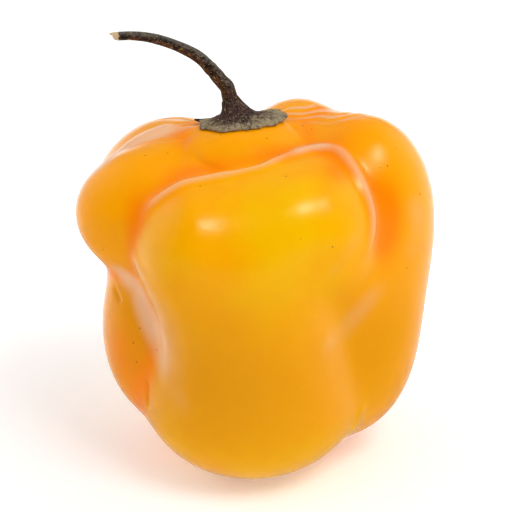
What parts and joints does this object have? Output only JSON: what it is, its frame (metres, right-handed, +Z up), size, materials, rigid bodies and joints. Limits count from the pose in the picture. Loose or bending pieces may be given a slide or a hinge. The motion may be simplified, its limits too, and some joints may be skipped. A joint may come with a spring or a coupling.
{
  "type": "chilli pepper",
  "caption": "Blocky, lobed yellow-orange chilli pepper with a dry woody calyx and a bent stem, standing on its blossom end.",
  "frame": {"origin": "under the middle of the whole pepper's box, on the surface that it stands on", "axes": "+Z up through the stem, -Y out of the broad front lobe, +X to the right of that lobe"},
  "size_m": [0.0596, 0.051, 0.0743],
  "materials": {
    "skin": "glossy waxy skin, golden yellow on the front lobe and orange in the grooves and pits",
    "calyx": "dry, rough, grey-brown, mottled",
    "stem": "dry, ridged, dark brown with pale flecks and a pale torn end"
  },
  "bodies": {
    "root": {"pod": "skin", "calyx": "calyx", "stem": "stem"}
  },
  "joints": []
}
